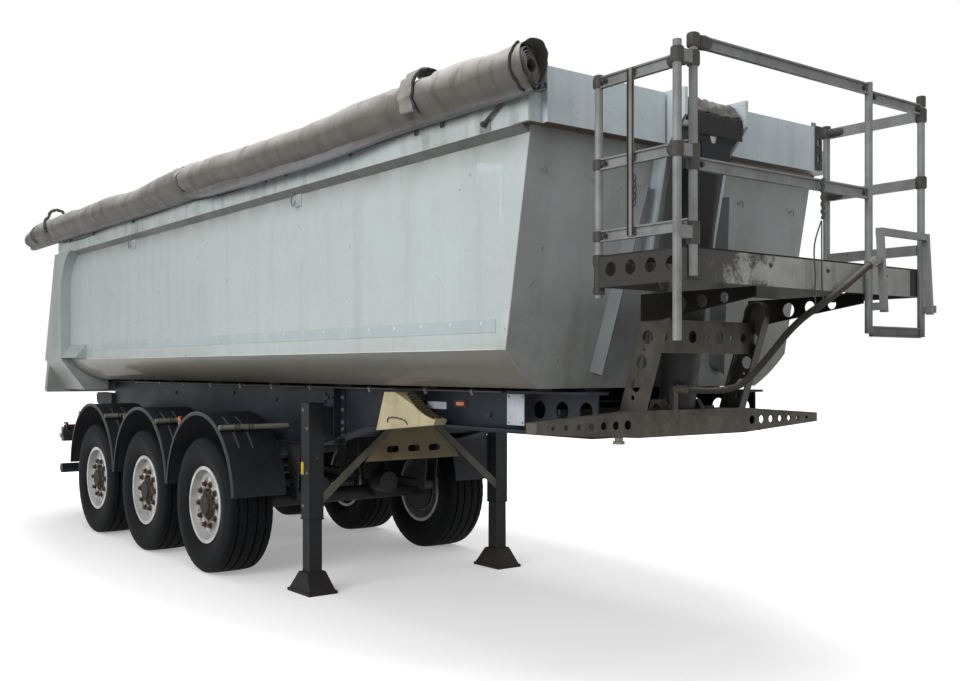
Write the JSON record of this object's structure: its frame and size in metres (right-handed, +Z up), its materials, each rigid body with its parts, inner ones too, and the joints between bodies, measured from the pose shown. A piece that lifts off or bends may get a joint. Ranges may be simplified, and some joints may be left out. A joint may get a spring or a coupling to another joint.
{
  "type": "dump trailer",
  "caption": "Semi-trailer with a half-round steel tipping bed, telescopic front cylinder, top-hung tailgate, landing legs and a railed front platform.",
  "frame": {"origin": "axis of the kingpin at the underside of the coupling plate, 1235 mm above the ground", "axes": "+X forward to the towing vehicle, +Y to the left, +Z up"},
  "size_m": [9.49, 2.6209, 3.2036],
  "materials": {
    "chassis_paint": "dark slate blue paint, dusty",
    "bed_paint": "light grey paint, scratched and dusty",
    "rubber": "black rubber",
    "guard_plastic": "black moulded plastic, dusty",
    "bare_steel": "machined steel, greased",
    "cream_paint": "cream paint, worn",
    "lamp_red": "red lamp lens in a black housing",
    "galvanised": "galvanised steel, stained brown and grey",
    "tarpaulin": "coated grey cloth, dirty",
    "cylinder_paint": "dark grey paint",
    "cylinder_chrome": "ground and plated steel",
    "tyre": "black tyre rubber",
    "wheel_silver": "silver paint with brake dust"
  },
  "bodies": {
    "chassis": {"axles": "chassis_paint", "suspension_hangers": "chassis_paint", "trailing_arms": "chassis_paint", "air_springs": "rubber", "mudguards": "guard_plastic", "mudguard_stays": "chassis_paint", "chassis_beams": "chassis_paint", "crossmembers": "chassis_paint", "rest_pads": "rubber", "coupling_plate": "chassis_paint", "kingpin": "bare_steel", "hinge_brackets": "chassis_paint", "landing_legs": "chassis_paint", "landing_rams": "chassis_paint", "landing_cross_plate": "cream_paint", "landing_braces": "chassis_paint", "air_tanks": "chassis_paint", "underrun_arms": "chassis_paint", "underrun_bar": "chassis_paint", "rear_lamps": "lamp_red", "wheel_chock": "cream_paint", "front_crossbeam": "chassis_paint", "platform_stand": "galvanised", "platform_bearers": "galvanised", "platform_plate": "galvanised", "platform_edges": "galvanised", "handrail_posts": "galvanised", "handrail_rails": "galvanised", "air_hose": "rubber"},
    "bed": {"bed_tub": "bed_paint", "bed_front_wall": "bed_paint", "bed_front_ribs": "bed_paint", "bed_headboard": "bed_paint", "cylinder_bracket": "bed_paint", "bed_top_rails": "bed_paint", "bed_rear_frame": "bed_paint", "bed_bearers": "bed_paint", "bed_hinge_lugs": "bed_paint", "tarp_roll": "tarpaulin"},
    "gate": {"tailgate": "bed_paint"},
    "barrel": {"cylinder_barrel": "cylinder_paint"},
    "step": {"folding_step": "galvanised"},
    "stage_1": {"cylinder_stage_1": "cylinder_chrome"},
    "stage_2": {"cylinder_stage_2": "cylinder_chrome"},
    "stage_3": {"cylinder_stage_3": "cylinder_chrome"},
    "stage_4": {"cylinder_stage_4": "cylinder_chrome"},
    "stage_5": {"cylinder_stage_5": "cylinder_chrome"},
    "wheel_1_right": {"tyre_1_right": "tyre", "rim_1_right": "wheel_silver"},
    "wheel_1_left": {"tyre_1_left": "tyre", "rim_1_left": "wheel_silver"},
    "wheel_2_right": {"tyre_2_right": "tyre", "rim_2_right": "wheel_silver"},
    "wheel_2_left": {"tyre_2_left": "tyre", "rim_2_left": "wheel_silver"},
    "wheel_3_right": {"tyre_3_right": "tyre", "rim_3_right": "wheel_silver"},
    "wheel_3_left": {"tyre_3_left": "tyre", "rim_3_left": "wheel_silver"}
  },
  "joints": [
    {"name": "wheel_1_right_spin", "type": "hinge", "parent": "chassis", "child": "wheel_1_right", "pos_m": [-3.4, -1.02, -0.699], "axis": [0, 1, 0], "continuous": true},
    {"name": "wheel_1_left_spin", "type": "hinge", "parent": "chassis", "child": "wheel_1_left", "pos_m": [-3.4, 1.02, -0.699], "axis": [0, 1, 0], "continuous": true},
    {"name": "wheel_2_right_spin", "type": "hinge", "parent": "chassis", "child": "wheel_2_right", "pos_m": [-4.71, -1.02, -0.699], "axis": [0, 1, 0], "continuous": true},
    {"name": "wheel_2_left_spin", "type": "hinge", "parent": "chassis", "child": "wheel_2_left", "pos_m": [-4.71, 1.02, -0.699], "axis": [0, 1, 0], "continuous": true},
    {"name": "wheel_3_right_spin", "type": "hinge", "parent": "chassis", "child": "wheel_3_right", "pos_m": [-6.02, -1.02, -0.699], "axis": [0, 1, 0], "continuous": true},
    {"name": "wheel_3_left_spin", "type": "hinge", "parent": "chassis", "child": "wheel_3_left", "pos_m": [-6.02, 1.02, -0.699], "axis": [0, 1, 0], "continuous": true},
    {"name": "bed_tip", "type": "hinge", "parent": "chassis", "child": "bed", "pos_m": [-7.48, 0, 0.05], "axis": [0, -1, 0], "range_deg": [0, 45]},
    {"name": "gate_swing", "type": "hinge", "parent": "bed", "child": "gate", "pos_m": [-7.26, 0, 1.66], "axis": [0, 1, 0], "range_deg": [0, 70]},
    {"name": "cylinder_swing", "type": "hinge", "parent": "chassis", "child": "barrel", "pos_m": [0.455, 0, 0.145], "axis": [0, -1, 0], "range_deg": [0, 34.22]},
    {"name": "stage_1_slide", "type": "slide", "parent": "barrel", "child": "stage_1", "axis": [0.1437, 0, 0.9896], "range_m": [0, 1.20827]},
    {"name": "stage_2_slide", "type": "slide", "parent": "stage_1", "child": "stage_2", "axis": [0.1437, 0, 0.9896], "range_m": [0, 1.20827]},
    {"name": "stage_3_slide", "type": "slide", "parent": "stage_2", "child": "stage_3", "axis": [0.1437, 0, 0.9896], "range_m": [0, 1.20827]},
    {"name": "stage_4_slide", "type": "slide", "parent": "stage_3", "child": "stage_4", "axis": [0.1437, 0, 0.9896], "range_m": [0, 1.20827]},
    {"name": "stage_5_slide", "type": "slide", "parent": "stage_4", "child": "stage_5", "axis": [0.1437, 0, 0.9896], "range_m": [0, 1.20827]},
    {"name": "step_swing", "type": "hinge", "parent": "chassis", "child": "step", "pos_m": [1.47, 0.69, 0.695], "axis": [0, 1, 0], "range_deg": [0, 175]}
  ],
  "couplings": [
    {"joint": "cylinder_swing", "follows": "bed_tip", "ratio": 0.76027},
    {"joint": "stage_1_slide", "follows": "bed_tip", "m_per_rad": 1.5378},
    {"joint": "stage_2_slide", "follows": "bed_tip", "m_per_rad": 1.5378},
    {"joint": "stage_3_slide", "follows": "bed_tip", "m_per_rad": 1.5378},
    {"joint": "stage_4_slide", "follows": "bed_tip", "m_per_rad": 1.5378},
    {"joint": "stage_5_slide", "follows": "bed_tip", "m_per_rad": 1.5378}
  ]
}
